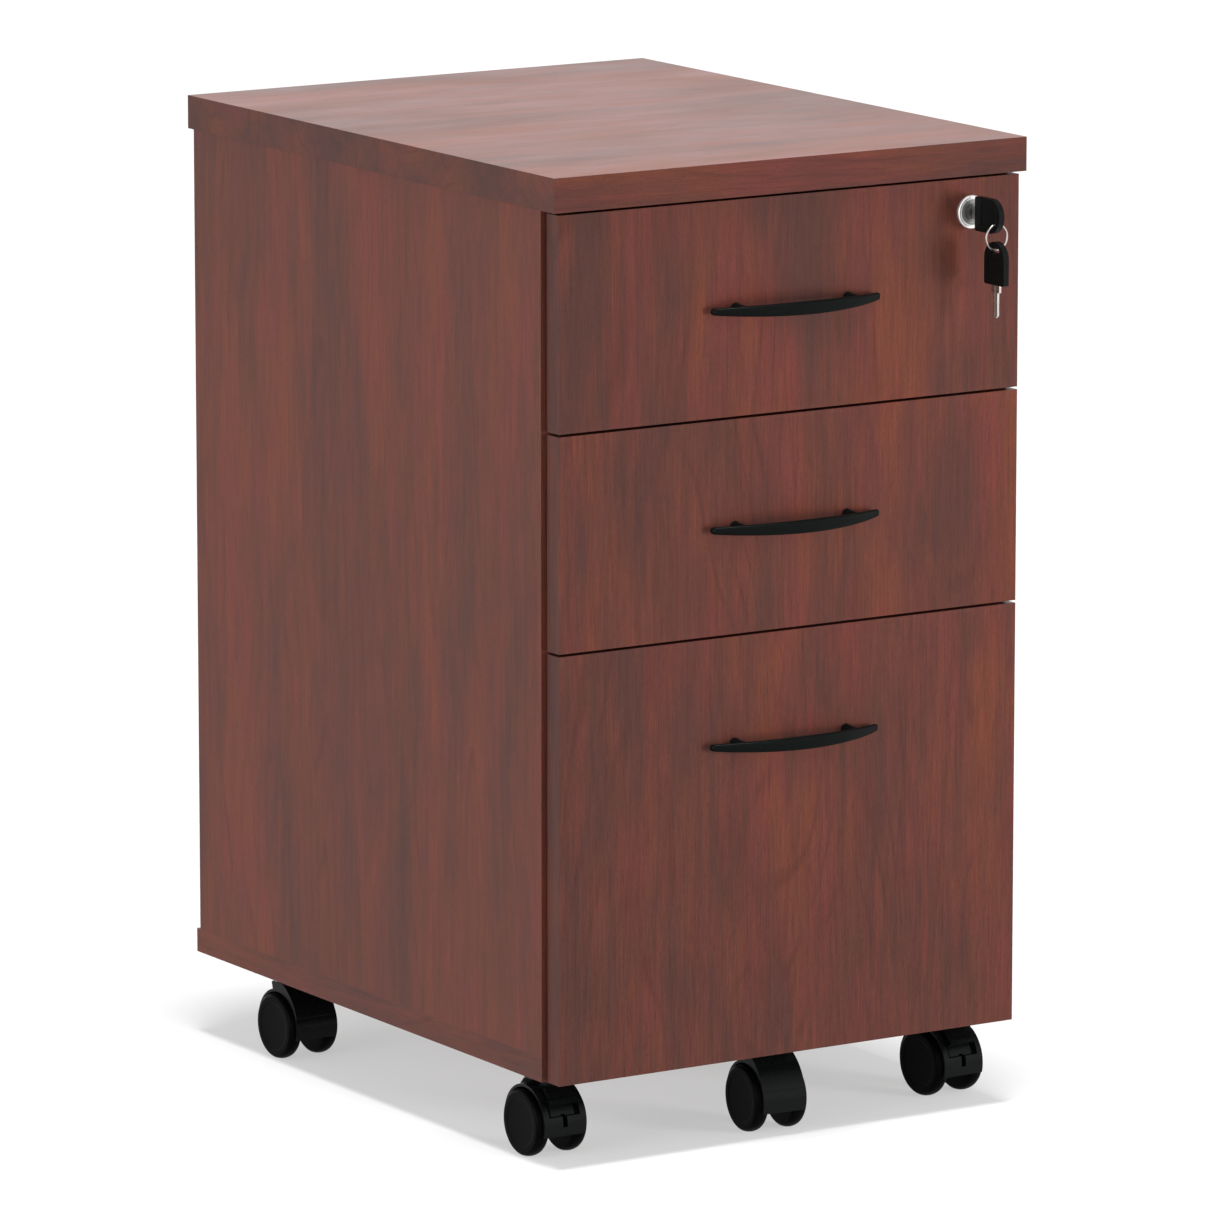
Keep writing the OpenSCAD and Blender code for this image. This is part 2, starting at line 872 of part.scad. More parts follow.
// What a braked hood loses: the pivot's seat, the window under the lever and the slit below it
module brake_recess() {
    translate([0, brake_pivot()[0] - trail, brake_pivot()[1] + wheel_r])
        bar_x(-brake_pivot_half_w - 0.4, brake_pivot_half_w + 0.4, brake_pivot_r + 0.3);
    intersection() {
        translate([0, -trail, wheel_r])
            difference() {
                bar_x(-brake_half_w, brake_half_w, 2 * hood_r);
                bar_x(-hood_w, hood_w, hood_r - window_depth);
            }
        block(
            [-brake_half_w, -trail - 2 * hood_r, window_low],
            [brake_half_w, -trail, wheel_r + hood_r * sin(brake_lip_angle)]
        );
    }
    block(
        [-slit_w / 2, -trail - 2 * hood_r, slit_low],
        [slit_w / 2, -trail - hood_r + slit_depth, window_low + 1]
    );
}

// One wheel with a crowned tread; its inner face is at x = 0 and it runs on a blind bore
module caster_wheel() {
    crown = 0.8;
    corner = 1.6;
    face = 2;
    bore = wheel_w - axle_end + 0.2;
    color(black_plastic)
        rotate([0, 90, 0])
            difference() {
                rotate_extrude($fn = 96)
                    polygon([
                        [0, 0], [wheel_r - crown - corner, 0], [wheel_r - crown, corner / 2],
                        [wheel_r - crown / 4, wheel_w / 4], [wheel_r, wheel_w / 2],
                        [wheel_r - crown / 4, 3 * wheel_w / 4], [wheel_r - crown, wheel_w - corner / 2],
                        [wheel_r - face, wheel_w], [0, wheel_w]
                    ]);
                translate([0, 0, -1]) cylinder(r = axle_r + bore_gap, h = bore + 1);
            }
}

// Front view of the brake lever, wider at its lip than at its pivot, as a deep block
module lever_outline() {
    low = hood_r * sin(brake_low_angle) - 3;
    high = hood_r + brake_t;
    rotate([90, 0, 0])
        linear_extrude(height = 2 * hood_r)
            polygon([
                [-brake_half_w, low], [brake_half_w, low],
                [brake_top_half_w, high], [-brake_top_half_w, high]
            ]);
}

// A shell over the front of the hood between two angles, clear of it by the lever's gap
module front_shell(t, a0, a1) {
    intersection() {
        difference() {
            bar_x(-brake_half_w, brake_half_w, hood_r + brake_gap + t);
            bar_x(-hood_w, hood_w, hood_r + brake_gap);
        }
        rotate([90, 0, -90])
            linear_extrude(height = 2 * hood_w, center = true) sector(a0, a1, 2 * hood_r);
    }
}

// Lever over the front of a braked hood, hung from a pivot near the hood's top, with a toe lip
module brake_lever() {
    color(black_plastic)
        translate([0, -trail, wheel_r]) {
            intersection() {
                union() {
                    front_shell(brake_t, brake_low_angle, brake_pivot_angle);
                    front_shell(brake_lip_t, brake_low_angle, brake_lip_angle);
                }
                lever_outline();
            }
            translate([0, brake_pivot()[0], brake_pivot()[1]])
                bar_x(-brake_pivot_half_w, brake_pivot_half_w, brake_pivot_r);
        }
}

// A pie slice between two angles
module sector(a0, a1, r) {
    polygon(concat([[0, 0]], [for (k = [0:8]) let (a = a0 + (a1 - a0) * k / 8) [r * cos(a), r * sin(a)]]));
}

// Swivel places of the five casters and how far each is turned, as [x, y, degrees]
fl = [-caster_x, behind(front_caster_y), 0];
fr = [caster_x, behind(front_caster_y), 3];
rl = [-caster_x, behind(rear_caster_y), 1.5];
rr = [caster_x, behind(rear_caster_y), -2];
fifth = [fifth_caster_x, behind(fifth_caster_y), -3.5];

// Places the children at a caster's swivel, turned with it
module at_swivel(c) {
    translate([c[0], c[1], 0]) rotate([0, 0, c[2]]) children();
}
module hood_at(c, braked) {
    at_swivel(c) caster_hood(braked);
}
module wheel_at(c, side) {
    at_swivel(c)
        translate([0, -trail, wheel_r])
            scale([side, 1, 1]) translate([caster_w / 2 - wheel_w, 0, 0]) caster_wheel();
}
module lever_at(c) {
    at_swivel(c) brake_lever();
}

module front_left_caster_hood() { hood_at(fl, true); }
module front_right_caster_hood() { hood_at(fr, true); }
module rear_left_caster_hood() { hood_at(rl, false); }
module rear_right_caster_hood() { hood_at(rr, false); }
module fifth_caster_hood() { hood_at(fifth, false); }
module front_left_outer_wheel() { wheel_at(fl, -1); }
module front_left_inner_wheel() { wheel_at(fl, 1); }
module front_right_outer_wheel() { wheel_at(fr, 1); }
module front_right_inner_wheel() { wheel_at(fr, -1); }
module rear_left_outer_wheel() { wheel_at(rl, -1); }
module rear_left_inner_wheel() { wheel_at(rl, 1); }
module rear_right_outer_wheel() { wheel_at(rr, 1); }
module rear_right_inner_wheel() { wheel_at(rr, -1); }
module fifth_left_wheel() { wheel_at(fifth, -1); }
module fifth_right_wheel() { wheel_at(fifth, 1); }
module front_left_brake_lever() { lever_at(fl); }
module front_right_brake_lever() { lever_at(fr); }

top_panel();
left_side_panel();
right_side_panel();
bottom_panel();
back_panel();
cam_fasteners();
box_slide_outer_rails();
file_slide_outer_rails();
caster_stem_plates();
caster_plate_screws();
drawer_bumpers();
upper_drawer_front();
upper_drawer_sides();
upper_drawer_back();
upper_drawer_bottom();
upper_handle();
upper_slide_inner_rails();
lock_housing();
upper_lock_catch();
middle_drawer_front();
middle_drawer_sides();
middle_drawer_back();
middle_drawer_bottom();
middle_handle();
middle_slide_inner_rails();
middle_lock_catch();
file_drawer_front();
file_drawer_sides();
file_drawer_back();
file_drawer_bottom();
file_handle();
file_slide_inner_rails();
file_lock_catch();
hanging_file_rails();
anti_tip_bracket();
file_slide_middle_rails();
lock_plug();
inserted_key_blade();
inserted_key_bow();
lock_bar();
key_ring();
spare_key_blade();
spare_key_bow();
front_left_caster_hood();
front_right_caster_hood();
rear_left_caster_hood();
rear_right_caster_hood();
fifth_caster_hood();
front_left_outer_wheel();
front_left_inner_wheel();
front_right_outer_wheel();
front_right_inner_wheel();
rear_left_outer_wheel();
rear_left_inner_wheel();
rear_right_outer_wheel();
rear_right_inner_wheel();
fifth_left_wheel();
fifth_right_wheel();
front_left_brake_lever();
front_right_brake_lever();
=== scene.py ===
import json
import math

import bmesh
import bpy
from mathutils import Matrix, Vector


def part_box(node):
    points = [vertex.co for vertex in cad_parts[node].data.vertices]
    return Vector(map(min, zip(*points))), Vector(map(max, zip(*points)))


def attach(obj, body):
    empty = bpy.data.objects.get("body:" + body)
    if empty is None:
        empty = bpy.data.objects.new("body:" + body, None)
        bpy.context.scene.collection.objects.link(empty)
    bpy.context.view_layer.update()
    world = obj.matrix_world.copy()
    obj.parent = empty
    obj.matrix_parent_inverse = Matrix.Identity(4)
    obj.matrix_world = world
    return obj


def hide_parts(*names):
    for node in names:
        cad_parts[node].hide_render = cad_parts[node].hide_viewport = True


MM = 0.001
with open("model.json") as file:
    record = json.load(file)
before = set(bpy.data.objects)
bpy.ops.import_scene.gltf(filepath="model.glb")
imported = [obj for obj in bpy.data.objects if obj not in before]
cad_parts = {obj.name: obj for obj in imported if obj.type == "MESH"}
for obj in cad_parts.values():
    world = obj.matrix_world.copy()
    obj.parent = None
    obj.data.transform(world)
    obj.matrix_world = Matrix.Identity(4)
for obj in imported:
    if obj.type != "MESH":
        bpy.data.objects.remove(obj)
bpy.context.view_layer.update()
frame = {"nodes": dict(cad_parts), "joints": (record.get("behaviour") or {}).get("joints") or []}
nodes = frame["nodes"]
joints = {j["name"]: j for j in frame["joints"]}


# ---------------------------------------------------------------- places taken from the frame

def middle(node):
    """The middle of a CAD node's box."""
    low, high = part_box(node)
    return (low + high) / 2


DRAWERS = ("upper", "middle", "file")
FACE_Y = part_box("upper_drawer_front")[0].y
LOCK = Vector(joints["key_turn"]["pos_m"])
CASTERS = {
    "front_left": ("outer", "inner"),
    "front_right": ("outer", "inner"),
    "rear_left": ("outer", "inner"),
    "rear_right": ("outer", "inner"),
    "fifth": ("left", "right"),
}


# ---------------------------------------------------------------- node trees

def new_material(name):
    """A material with only an output and a principled shader, and its tree and shader."""
    material = bpy.data.materials.new(name)
    material.use_nodes = True
    tree = material.node_tree
    tree.nodes.clear()
    output = tree.nodes.new("ShaderNodeOutputMaterial")
    shader = tree.nodes.new("ShaderNodeBsdfPrincipled")
    tree.links.new(shader.outputs["BSDF"], output.inputs["Surface"])
    return material, tree, shader


def add(tree, kind, inputs=None, **settings):
    """A new node with its settings and inputs; an input that is a socket is linked."""
    node = tree.nodes.new(kind)
    for key, value in settings.items():
        setattr(node, key, value)
    for key, value in (inputs or {}).items():
        if isinstance(value, bpy.types.NodeSocket):
            tree.links.new(value, node.inputs[key])
        else:
            node.inputs[key].default_value = value
    return node


def object_coords(tree):
    """The object's own coordinates, in metres."""
    return add(tree, "ShaderNodeTexCoord").outputs["Object"]


def noise(tree, coords, scale, stretch=(1, 1, 1), shift=(0, 0, 0), detail=3.0, roughness=0.55, warp=0.0):
    """A noise texture over the coordinates, stretched and shifted."""
    mapping = add(
        tree, "ShaderNodeMapping",
        {"Vector": coords, "Location": shift, "Scale": [scale * s for s in stretch]},
    )
    texture = add(
        tree, "ShaderNodeTexNoise",
        {
            "Vector": mapping.outputs[0], "Scale": 1.0, "Detail": detail,
            "Roughness": roughness, "Distortion": warp,
        },
    )
    return texture.outputs["Fac"]


def remap(tree, value, low, high, to_low=0.0, to_high=1.0):
    """The value carried from one range to another and held at its ends."""
    return add(
        tree, "ShaderNodeMapRange",
        {"Value": value, "From Min": low, "From Max": high, "To Min": to_low, "To Max": to_high},
    ).outputs["Result"]


def math_node(tree, operation, a, b=0.0):
    """The result of one math node."""
    return add(tree, "ShaderNodeMath", {0: a, 1: b}, operation=operation).outputs[0]


def mix_colour(tree, factor, a, b, blend="MIX"):
    """Two colours mixed by the factor."""
    node = add(tree, "ShaderNodeMix", data_type="RGBA", blend_type=blend)
    for socket, value in ((0, factor), (6, a), (7, b)):
        if isinstance(value, bpy.types.NodeSocket):
            tree.links.new(value, node.inputs[socket])
        else:
            node.inputs[socket].default_value = value
    return node.outputs[2]


def bump(tree, shader, height, strength, distance):
    """Bumps from the height, on the shader's normal."""
    node = add(tree, "ShaderNodeBump", {"Height": height, "Strength": strength, "Distance": distance})
    tree.links.new(node.outputs["Normal"], shader.inputs["Normal"])


# ---------------------------------------------------------------- materials

# Wood colours
COOL = (0.0690, 0.0262, 0.0200, 1)
RED = (0.1230, 0.0300, 0.0215, 1)
ORANGE = (0.1270, 0.0350, 0.0190, 1)
DARK = (0.0340, 0.0130, 0.0110, 1)
# Share of the bands, clouds and streaks in how warm the wood is
BAND_SHARE = 0.42
CLOUD_SHARE = 0.32
STREAK_SHARE = 0.26
# How many growth lines the slow field is cut into
GROWTH_LINES = 22.0


def laminate(name, grain, seed, painted_light_tint, edge_painted_light_tint=None):
    """Cherry laminate with its grain along one axis: warm and cool bands and clouds, streaks, threads,
    growth lines and pores. The whole is tinted with painted light for its face. A panel's edges may take a
    tint of their own, so that its upward faces are painted lighter than its edges."""
    material, tree, shader = new_material(name)
    coords = object_coords(tree)
    along = "XYZ".index(grain)

    def stretched(across, length):
        """A noise scale for each axis, with the grain along one of them."""
        return [length if k == along else across for k in range(3)]

    shift = (seed * 1.37, seed * 2.11, seed * 0.73)
    back_shift = shift[::-1]
    band = noise(tree, coords, 1.0, stretched(15, 2.4), shift, detail=2, roughness=0.5)
    cloud = noise(tree, coords, 1.0, stretched(38, 10), back_shift, detail=4, roughness=0.6, warp=0.25)
    streak = noise(tree, coords, 1.0, stretched(150, 9), shift, detail=3, roughness=0.6)
    hue = noise(tree, coords, 1.0, stretched(30, 8), shift, detail=3, roughness=0.6)
    thread = noise(tree, coords, 1.0, stretched(760, 28), back_shift, detail=3, roughness=0.65)
    fleck = noise(tree, coords, 1.0, stretched(1100, 330), shift, detail=2, roughness=0.5)
    pore = noise(tree, coords, 1.0, stretched(1300, 75), back_shift, detail=2, roughness=0.5)
    field = noise(tree, coords, 1.0, stretched(7.5, 1.1), back_shift, detail=2, roughness=0.4, warp=0.15)
    ring = math_node(tree, "FRACT", math_node(tree, "MULTIPLY", field, GROWTH_LINES))
    ring = math_node(tree, "ABSOLUTE", math_node(tree, "SUBTRACT", ring, 0.5))
    fading = remap(tree, cloud, 0.45, 0.62, 0.0, 0.30)
    line = math_node(tree, "MULTIPLY", remap(tree, ring, 0.14, 0.02), fading)

    warmth = math_node(tree, "MULTIPLY", band, BAND_SHARE)
    warmth = math_node(tree, "ADD", warmth, math_node(tree, "MULTIPLY", cloud, CLOUD_SHARE))
    warmth = math_node(tree, "ADD", warmth, math_node(tree, "MULTIPLY", streak, STREAK_SHARE))
    warm = mix_colour(tree, remap(tree, hue, 0.42, 0.58), RED, ORANGE)
    base = mix_colour(tree, remap(tree, warmth, 0.40, 0.60), COOL, warm)
    base = mix_colour(tree, line, base, DARK)
    base = mix_colour(tree, remap(tree, pore, 0.62, 0.72, 0, 0.40), base, DARK)
    tone = remap(tree, thread, 0.30, 0.70, 0.84, 1.16)
    tone = math_node(tree, "MULTIPLY", tone, remap(tree, fleck, 0.30, 0.70, 0.92, 1.08))
    base = mix_colour(tree, 1.0, base, tone, "MULTIPLY")
    # Painted light by facing: upward faces take the main tint, painted lighter as a sheen, and the other
    # faces take the edge tint
    if edge_painted_light_tint:
        normal = add(tree, "ShaderNodeTexCoord").outputs["Normal"]
        upward = add(tree, "ShaderNodeSeparateXYZ", {"Vector": normal}).outputs["Z"]
        shade = mix_colour(tree, remap(tree, upward, 0.4, 0.9), (*edge_painted_light_tint, 1), (*painted_light_tint, 1))
    else:
        shade = (*painted_light_tint, 1)
    base = mix_colour(tree, 1.0, base, shade, "MULTIPLY")
    tree.links.new(base, shader.inputs["Base Color"])
    rough = remap(tree, math_node(tree, "ADD", thread, hue), 0.7, 1.3, 0.34, 0.44)
    tree.links.new(rough, shader.inputs["Roughness"])
    shader.inputs["IOR"].default_value = 1.5
    shader.inputs["Specular IOR Level"].default_value = 0.10
    height = math_node(tree, "SUBTRACT", thread, remap(tree, pore, 0.60, 0.72))
    bump(tree, shader, height, 0.10, 0.0001)
    return material


def melamine(name):
    """Pale board with a faint pearled texture."""
    material, tree, shader = new_material(name)
    coords = object_coords(tree)
    speck = noise(tree, coords, 900, detail=3)
    cloud = noise(tree, coords, 9, detail=4)
    base = mix_colour(tree, remap(tree, cloud, 0.35, 0.65), (0.33, 0.325, 0.31, 1), (0.375, 0.37, 0.355, 1))
    base = mix_colour(tree, remap(tree, speck, 0.55, 0.75, 0, 0.18), base, (0.26, 0.255, 0.24, 1))
    tree.links.new(base, shader.inputs["Base Color"])
    tree.links.new(remap(tree, speck, 0.3, 0.7, 0.42, 0.58), shader.inputs["Roughness"])
    bump(tree, shader, speck, 0.15, 0.0001)
    return material


def metal(name, colour, dark, rough_low, rough_high, grain_scale, stretch):
    """Metal with cloudy tone, fine grain and uneven polish."""
    material, tree, shader = new_material(name)
    coords = object_coords(tree)
    grain = noise(tree, coords, grain_scale, stretch, detail=4, roughness=0.65)
    cloud = noise(tree, coords, 60, detail=4)
    base = mix_colour(tree, remap(tree, cloud, 0.35, 0.7), dark, colour)
    base = mix_colour(tree, remap(tree, grain, 0.5, 0.8, 0, 0.25), base, dark)
    tree.links.new(base, shader.inputs["Base Color"])
    shader.inputs["Metallic"].default_value = 1.0
    polish = math_node(tree, "MULTIPLY", cloud, 0.4)
    polish = math_node(tree, "ADD", math_node(tree, "MULTIPLY", grain, 0.6), polish)
    tree.links.new(remap(tree, polish, 0.35, 0.65, rough_low, rough_high), shader.inputs["Roughness"])
    bump(tree, shader, grain, 0.1, 0.00008)
    return material


def plastic(name, colour, worn, rough_low, rough_high, grain_scale, strength, shine):
    """Moulded plastic or enamel: fine spark-eroded grain, faint scuffs and dust."""
    material, tree, shader = new_material(name)
    coords = object_coords(tree)
    grain = noise(tree, coords, grain_scale, detail=3, roughness=0.6)
    scuff = noise(tree, coords, 120, (1, 1, 3.5), detail=6, roughness=0.7, warp=0.4)
    base = mix_colour(tree, remap(tree, scuff, 0.52, 0.80, 0, 0.55), colour, worn)
    tree.links.new(base, shader.inputs["Base Color"])
    tree.links.new(remap(tree, scuff, 0.35, 0.7, rough_low, rough_high), shader.inputs["Roughness"])
    shader.inputs["IOR"].default_value = 1.5
    shader.inputs["Specular IOR Level"].default_value = shine
    bump(tree, shader, grain, strength, 0.00006)
    return material


def turned_metal(name, centre, face_radius):
    """Chromed lock face turned about an axis along Y: a bright rim that is a painted highlight, and rings
    with painted shade that darkens them to the middle.
    """
    material, tree, shader = new_material(name)
    coords = object_coords(tree)
    offset = add(tree, "ShaderNodeVectorMath", {0: coords, 1: centre}, operation="SUBTRACT").outputs[0]
    flat = add(tree, "ShaderNodeVectorMath", {0: offset, 1: (1, 0, 1)}, operation="MULTIPLY").outputs[0]
    radius = add(tree, "ShaderNodeVectorMath", {0: flat}, operation="LENGTH").outputs["Value"]
    cut = add(
        tree, "ShaderNodeTexNoise",
        {"W": math_node(tree, "MULTIPLY", radius, 1700.0), "Scale": 1.0, "Detail": 1.0},
        noise_dimensions="1D",
    ).outputs["Fac"]
    # Painted shade: the face is coloured darker from near the rim in to the middle
    outward = remap(tree, radius, 0.25 * face_radius, face_radius)
    face = mix_colour(tree, outward, (0.05, 0.05, 0.05, 1), (0.33, 0.33, 0.32, 1))
    face = mix_colour(tree, 1.0, face, remap(tree, cut, 0.35, 0.65, 0.55, 1.35), "MULTIPLY")
    # Painted highlight: the rim is coloured near white
    rim = remap(tree, radius, face_radius, face_radius + 0.0002)
    base = mix_colour(tree, rim, face, (0.86, 0.86, 0.85, 1))
    tree.links.new(base, shader.inputs["Base Color"])
    shader.inputs["Metallic"].default_value = 1.0
    grain = noise(tree, coords, 900, detail=3)
    tree.links.new(remap(tree, grain, 0.3, 0.7, 0.34, 0.46), shader.inputs["Roughness"])
    bump(tree, shader, cut, 0.10, 0.00005)
    return material


def soft_clear(name):
    """Cloudy, slightly see-through rubber."""
    material, tree, shader = new_material(name)
    cloud = noise(tree, object_coords(tree), 300, detail=3)
    base = mix_colour(tree, remap(tree, cloud, 0.3, 0.7), (0.62, 0.63, 0.60, 1), (0.74, 0.75, 0.72, 1))
    tree.links.new(base, shader.inputs["Base Color"])
    tree.links.new(remap(tree, cloud, 0.3, 0.7, 0.25, 0.38), shader.inputs["Roughness"])
    shader.inputs["Transmission Weight"].default_value = 0.35
    return material


LOCK_FACE_R = 9.2

BOARD = melamine("drawer_board")
ZINC = metal(
    "zinc_steel", (0.44, 0.45, 0.46, 1), (0.37, 0.38, 0.39, 1),
    rough_low=0.30, rough_high=0.40, grain_scale=420, stretch=(1, 0.08, 1),
)
CHROME = turned_metal("lock_chrome", LOCK, LOCK_FACE_R * MM)
KEY_METAL = metal(
    "key_nickel", (0.55, 0.53, 0.50, 1), (0.38, 0.36, 0.34, 1),
    rough_low=0.24, rough_high=0.38, grain_scale=1200, stretch=(1, 1, 0.2),
)
ENAMEL = plastic(
    "black_enamel", (0.0020, 0.0027, 0.0025, 1), (0.0042, 0.0052, 0.0050, 1),
    rough_low=0.36, rough_high=0.48, grain_scale=2600, strength=0.10, shine=0.04,
)
CASTER_BLACK = plastic(
    "caster_black", (0.0016, 0.0019, 0.0019, 1), (0.0032, 0.0036, 0.0036, 1),
    rough_low=0.24, rough_high=0.34, grain_scale=1900, strength=0.05, shine=0.09,
)
WHEEL_BLACK = plastic(
    "wheel_black", (0.0007, 0.0008, 0.0008, 1), (0.0018, 0.0019, 0.0019, 1),
    rough_low=0.30, rough_high=0.44, grain_scale=1500, strength=0.08, shine=0.02,
)
KEY_PLASTIC = plastic(
    "key_plastic", (0.0022, 0.0026, 0.0026, 1), (0.0055, 0.006, 0.006, 1),
    rough_low=0.38, rough_high=0.52, grain_scale=2200, strength=0.15, shine=0.08,
)
SOFT = soft_clear("clear_rubber")


# ---------------------------------------------------------------- mesh building

def mesh_object(name, vertices, faces, material, body, smooth_angle=50):
    """A named mesh in the row frame, smoothly shaded up to an angle, riding on a body."""
    mesh = bpy.data.meshes.new(name)
    mesh.from_pydata([tuple(v) for v in vertices], [], faces)
    mesh.validate()
    work = bmesh.new()
    work.from_mesh(mesh)
    bmesh.ops.remove_doubles(work, verts=work.verts, dist=1e-7)
    bmesh.ops.recalc_face_normals(work, faces=work.faces)
    limit = math.radians(smooth_angle)
    for face in work.faces:
        face.smooth = True
    for edge in work.edges:
        if len(edge.link_faces) == 2:
            edge.smooth = edge.calc_face_angle(0.0) < limit
    work.to_mesh(mesh)
    work.free()
    mesh.materials.append(material)
    obj = bpy.data.objects.new(name, mesh)
    bpy.context.scene.collection.objects.link(obj)
    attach(obj, body)
    return obj


def skin(rings, closed=False):
    """Faces over rings of equal length; open ends are capped."""
    count = len(rings[0])
    vertices = [v for ring in rings for v in ring]
    faces = []
    spans = len(rings) if closed else len(rings) - 1
    for i in range(spans):
        a, b = i * count, ((i + 1) % len(rings)) * count
        for k in range(count):
            n = (k + 1) % count
            faces.append((a + k, a + n, b + n, b + k))
    if not closed:
        last = (len(rings) - 1) * count
        faces.append(tuple(range(count))[::-1])
        faces.append(tuple(last + k for k in range(count)))
    return vertices, faces


def lathe(profile, place, axis, steps=64, radius_at=None, closed=False):
    """A profile of (radius, distance along the axis) turned about an axis through a place, in mm from it.

    radius_at(radius, angle, index) may change a ring's radius with the angle."""
    axis = Vector(axis).normalized()
    side = axis.orthogonal().normalized()
    other = axis.cross(side)
    rings = []
    for index, (r, t) in enumerate(profile):
        ring = []
        for k in range(steps):
            angle = math.tau * k / steps
            reach = radius_at(r, angle, index) if radius_at else r
            out = side * math.cos(angle) + other * math.sin(angle)
            ring.append(Vector(place) + (out * reach + axis * t) * MM)
        rings.append(ring)
    return skin(rings, closed)


def joined(parts):
    """One list of vertices and faces from several."""
    vertices, faces = [], []
    for v, f in parts:
        base = len(vertices)
        vertices += v
        faces += [tuple(base + k for k in face) for face in f]
    return vertices, faces


def rounded(points, radius, steps=4):
    """A profile with its inner corners rounded off by up to a radius."""
    result = [points[0]]
    for k in range(1, len(points) - 1):
        before, here, after = (Vector(points[k + d]) for d in (-1, 0, 1))
        to_before, to_after = before - here, after - here
        cut = min(radius, to_before.length * 0.45, to_after.length * 0.45)
        start = here + to_before.normalized() * cut
        end = here + to_after.normalized() * cut
        for s in range(steps + 1):
            u = s / steps
            result.append(tuple(start.lerp(here, u).lerp(here.lerp(end, u), u)))
    result.append(points[-1])
    return result


def soften(obj, width, segments=2):
    """Rounds off an object's sharp edges."""
    modifier = obj.modifiers.new("soft_edges", "BEVEL")
    modifier.width = width * MM
    modifier.segments = segments
    modifier.limit_method = "ANGLE"
    modifier.angle_limit = math.radians(40)
    modifier.harden_normals = True


# ---------------------------------------------------------------- handles

HANDLE_LEN = 144.0
HANDLE_PITCH = 96.0
HANDLE_REACH = 28.0
HANDLE_H = 9.6
TIP_H = 5.2
BOW_T = 6.4
TIP_T = 5.0
TIP_GAP = 2.5
POST_R = 3.5
FRONT_T = 16.0
# Roundness of the bow's section and of the ring's wire, as the power of a superellipse
SECTION_POWER = 3.2
WIRE_POWER = 3.0


def arc_drop(half, rise, x):
    """How far an arc over a chord of that half length and rise has dropped at x from its middle."""
    r = (half * half + rise * rise) / (2 * rise)
    return r - math.sqrt(max(r * r - x * x, 0.0))


def bow_section(x):
    """(outer depth, inner depth, half height) of the bow at x, in mm from the drawer's face."""
    half = HANDLE_LEN / 2
    outer = HANDLE_REACH - arc_drop(half, HANDLE_REACH - TIP_T - TIP_GAP, x)
    inner = HANDLE_REACH - BOW_T - arc_drop(half, HANDLE_REACH - BOW_T - TIP_GAP, x)
    tip_start = half - TIP_H / 2
    height = HANDLE_H / 2 - arc_drop(tip_start, (HANDLE_H - TIP_H) / 2, min(abs(x), tip_start))
    past = abs(x) - tip_start
    if past > 0:
        share = math.sqrt(max(1 - (past / (TIP_H / 2)) ** 2, 0.0))
        centre = (outer + inner) / 2
        thick = (outer - inner) / 2 * share
        outer, inner = centre + thick, centre - thick
        height *= share
    return outer, inner, height


def power_round(angle, power):
    """A point on a unit superellipse."""
    c, s = math.cos(angle), math.sin(angle)
    return math.copysign(abs(c) ** (2 / power), c), math.copysign(abs(s) ** (2 / power), s)


def bow_mesh(centre):
    """The bow: rounded sections along an arc, closing to rounded tips."""
    half = HANDLE_LEN / 2
    span_steps, tip_steps, section_steps = 56, 7, 28
    stations = []
    for k in range(span_steps + 1):
        stations.append((half - TIP_H / 2) * (2 * k / span_steps - 1))
    tip = []
    for k in range(1, tip_steps + 1):
        tip.append(half - TIP_H / 2 * (1 - math.sin(math.pi / 2 * k / tip_steps)))
    tip[-1] = half - 0.02
    stations = [-x for x in tip[::-1]] + stations + tip
    rings = []
    for x in stations:
        outer, inner, height = bow_section(x)
        middle_y, thick = (outer + inner) / 2, (outer - inner) / 2
        ring = []
        for k in range(section_steps):
            u, v = power_round(math.tau * k / section_steps, SECTION_POWER)
            ring.append(centre + Vector((x, -(middle_y + thick * u), height * v)) * MM)
        rings.append(ring)
    return skin(rings)


def post_mesh(centre, x):
    """A flared post from the drawer's face into the bow."""
    length = bow_section(abs(x) - POST_R)[1] + 1.0
    profile = [
        (0, 0.0), (4.3, 0.0), (4.3, 0.5), (4.1, 1.1), (3.9, 2.4), (3.7, 4.6), (3.55, 7.4),
        (POST_R, length), (0, length),
    ]
    return lathe(rounded(profile, 0.25, 3), centre + Vector((x, 0, 0)) * MM, (0, -1, 0), 40)


def cross_recess(r, angle, index):
    """Cuts a cross into the innermost rings of a screw head."""
    if index in (1, 2):
        return r * (0.34 + 0.66 * abs(math.cos(2 * angle)) ** 6)
    return r


def screw_mesh(centre, x):
    """A pan-head screw from inside the drawer, its cross recess facing the back."""
    start = centre + Vector((x, FRONT_T, 0)) * MM
    head = [
        (0, 1.1), (1.9, 1.2), (1.95, 2.35), (2.9, 2.3), (3.5, 1.9), (3.9, 1.2), (4.0, 0.5), (4.0, 0.0),
        (0, 0.0),
    ]
    shank = [(0, 0.0), (2.0, 0.0), (2.0, -22.6), (1.6, -23.0), (0, -23.0)]
    return joined([
        lathe(head, start, (0, 1, 0), 48, cross_recess),
        lathe(shank, start, (0, 1, 0), 24),
    ])


def make_handle(drawer):
    """A drawer's bow handle on two posts, and its two screws."""
    low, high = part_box(f"{drawer}_handle")
    centre = Vector(((low.x + high.x) / 2, FACE_Y, (low.z + high.z) / 2))
    ends = (-HANDLE_PITCH / 2, HANDLE_PITCH / 2)
    body = f"{drawer}_drawer"
    bow = joined([bow_mesh(centre)] + [post_mesh(centre, x) for x in ends])
    pair = joined([screw_mesh(centre, x) for x in ends])
    handle = mesh_object(f"{drawer}_bow", *bow, ENAMEL, body)
    screws = mesh_object(f"{drawer}_handle_screws", *pair, ZINC, body, 30)
    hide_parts(f"{drawer}_handle")


# ---------------------------------------------------------------- casters

# Distance from a caster's middle to the inner face of its wheels
WHEEL_INNER = 10.5
